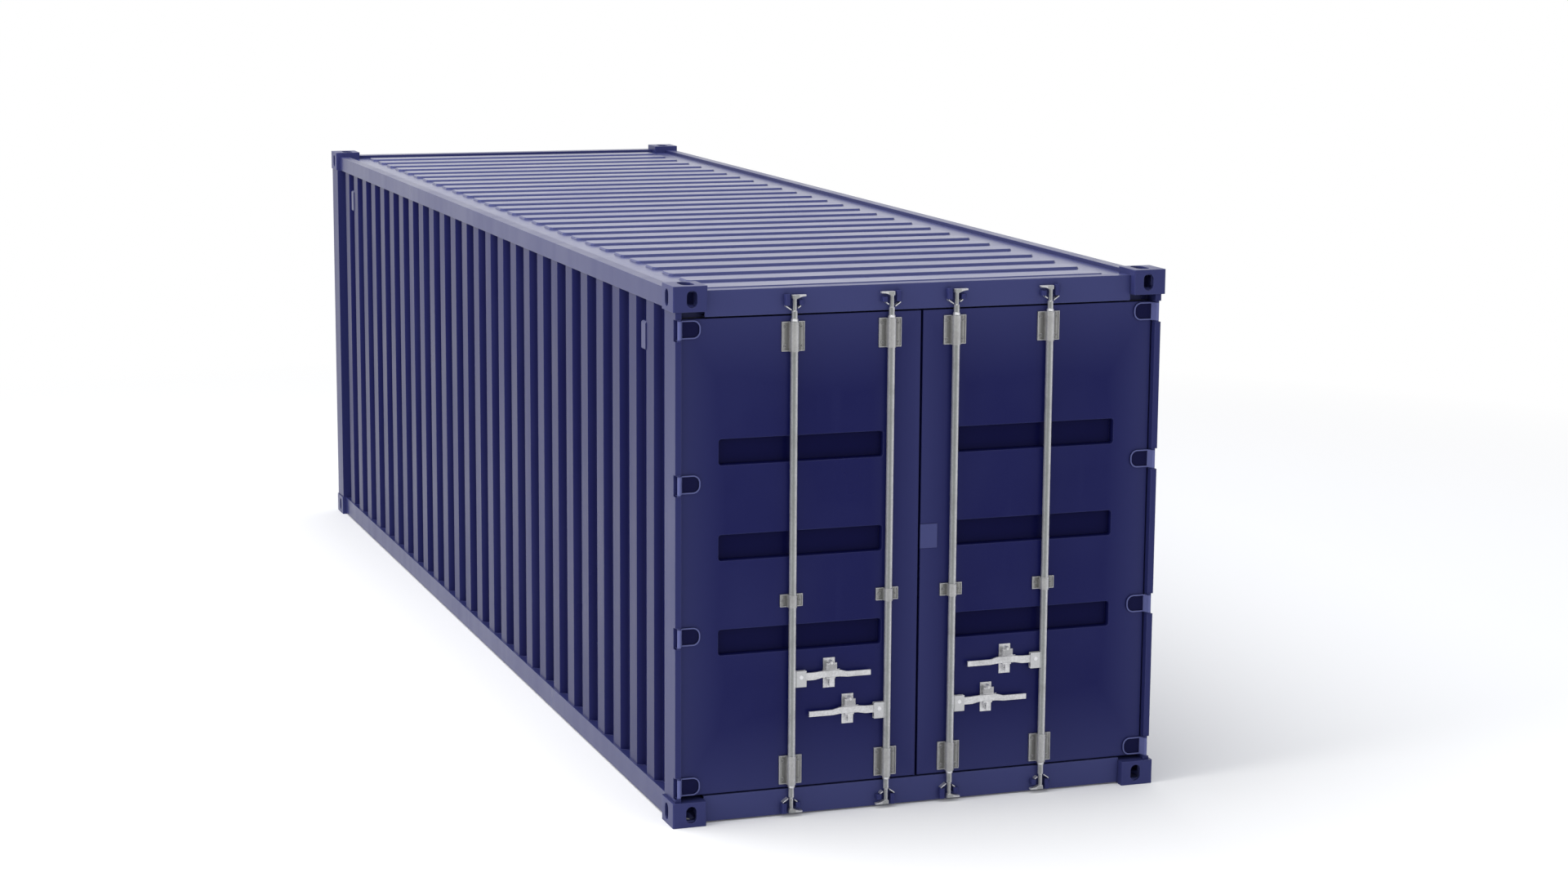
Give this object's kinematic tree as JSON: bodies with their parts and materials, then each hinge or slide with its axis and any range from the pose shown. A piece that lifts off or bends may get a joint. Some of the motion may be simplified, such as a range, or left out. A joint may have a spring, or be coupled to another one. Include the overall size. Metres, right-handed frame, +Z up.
{
  "type": "shipping container",
  "caption": "Corrugated steel shipping container with hollow corner castings, a ribbed roof and double end doors locked by turning rods with handles.",
  "frame": {"origin": "on the ground, under the middle of the container", "axes": "+X to the right as seen facing the doors, +Y from the doors to the blind end, +Z up"},
  "size_m": [2.438, 7.925, 2.515],
  "materials": {
    "paint": "satin",
    "galvanised": "galvanised",
    "rubber": "matt",
    "plywood": "oiled"
  },
  "bodies": {
    "container": {"corner_castings_door_end": "paint", "corner_castings_blind_end": "paint", "door_post_left": "paint", "door_post_right": "paint", "blind_end_posts": "paint", "door_header": "paint", "door_sill": "paint", "door_threshold": "paint", "top_end_rail": "paint", "bottom_end_rail": "paint", "top_side_rails": "paint", "bottom_side_rails": "paint", "side_wall_left": "paint", "side_wall_right": "paint", "end_wall": "paint", "roof": "paint", "floor_boards": "plywood", "cross_members": "paint", "side_vents": "paint", "cam_keepers": "paint", "keeper_guides": "galvanised"},
    "door_left": {"door_frame_left": "paint", "door_panel_left": "paint", "door_seal_left": "rubber", "door_hinges_left": "paint", "rod_brackets_left": "galvanised", "handle_retainers_left": "galvanised"},
    "door_right": {"door_frame_right": "paint", "door_panel_right": "paint", "door_seal_right": "rubber", "door_hinges_right": "paint", "rod_brackets_right": "galvanised", "handle_retainers_right": "galvanised", "lap_plate": "paint"},
    "locking_rod_1": {"locking_rod_1": "galvanised"},
    "handle_1": {"handle_1": "galvanised"},
    "catch_1": {"catch_1": "galvanised"},
    "locking_rod_2": {"locking_rod_2": "galvanised"},
    "handle_2": {"handle_2": "galvanised"},
    "catch_2": {"catch_2": "galvanised"},
    "locking_rod_3": {"locking_rod_3": "galvanised"},
    "handle_3": {"handle_3": "galvanised"},
    "catch_3": {"catch_3": "galvanised"},
    "locking_rod_4": {"locking_rod_4": "galvanised"},
    "handle_4": {"handle_4": "galvanised"},
    "catch_4": {"catch_4": "galvanised"}
  },
  "joints": [
    {"name": "door_left_swing", "type": "hinge", "parent": "container", "child": "door_left", "pos_m": [-1.186, -3.948, 1.2575], "axis": [0, 0, -1], "range_deg": [0, 267]},
    {"name": "door_right_swing", "type": "hinge", "parent": "container", "child": "door_right", "pos_m": [1.186, -3.948, 1.2575], "axis": [0, 0, 1], "range_deg": [0, 267]},
    {"name": "locking_rod_1_turn", "type": "hinge", "parent": "door_left", "child": "locking_rod_1", "pos_m": [-0.635, -3.9405, 1.2575], "axis": [0, 0, 1], "range_deg": [-100, 0]},
    {"name": "locking_rod_2_turn", "type": "hinge", "parent": "door_left", "child": "locking_rod_2", "pos_m": [-0.161, -3.9405, 1.2575], "axis": [0, 0, -1], "range_deg": [-100, 0]},
    {"name": "locking_rod_3_turn", "type": "hinge", "parent": "door_right", "child": "locking_rod_3", "pos_m": [0.161, -3.9405, 1.2575], "axis": [0, 0, 1], "range_deg": [-100, 0]},
    {"name": "locking_rod_4_turn", "type": "hinge", "parent": "door_right", "child": "locking_rod_4", "pos_m": [0.635, -3.9405, 1.2575], "axis": [0, 0, -1], "range_deg": [-100, 0]},
    {"name": "handle_1_lift", "type": "hinge", "parent": "locking_rod_1", "child": "handle_1", "pos_m": [-0.593, -3.9405, 0.667], "axis": [0, 1, 0], "range_deg": [-8, 0]},
    {"name": "handle_2_lift", "type": "hinge", "parent": "locking_rod_2", "child": "handle_2", "pos_m": [-0.203, -3.9405, 0.487], "axis": [0, -1, 0], "range_deg": [-8, 0]},
    {"name": "handle_3_lift", "type": "hinge", "parent": "locking_rod_3", "child": "handle_3", "pos_m": [0.203, -3.9405, 0.487], "axis": [0, 1, 0], "range_deg": [-8, 0]},
    {"name": "handle_4_lift", "type": "hinge", "parent": "locking_rod_4", "child": "handle_4", "pos_m": [0.593, -3.9405, 0.667], "axis": [0, -1, 0], "range_deg": [-8, 0]},
    {"name": "catch_1_swivel", "type": "hinge", "parent": "door_left", "child": "catch_1", "pos_m": [-0.445, -3.9405, 0.727], "axis": [0, 1, 0], "range_deg": [-90, 0]},
    {"name": "catch_2_swivel", "type": "hinge", "parent": "door_left", "child": "catch_2", "pos_m": [-0.351, -3.9405, 0.547], "axis": [0, -1, 0], "range_deg": [-90, 0]},
    {"name": "catch_3_swivel", "type": "hinge", "parent": "door_right", "child": "catch_3", "pos_m": [0.351, -3.9405, 0.547], "axis": [0, 1, 0], "range_deg": [-90, 0]},
    {"name": "catch_4_swivel", "type": "hinge", "parent": "door_right", "child": "catch_4", "pos_m": [0.445, -3.9405, 0.727], "axis": [0, -1, 0], "range_deg": [-90, 0]}
  ]
}
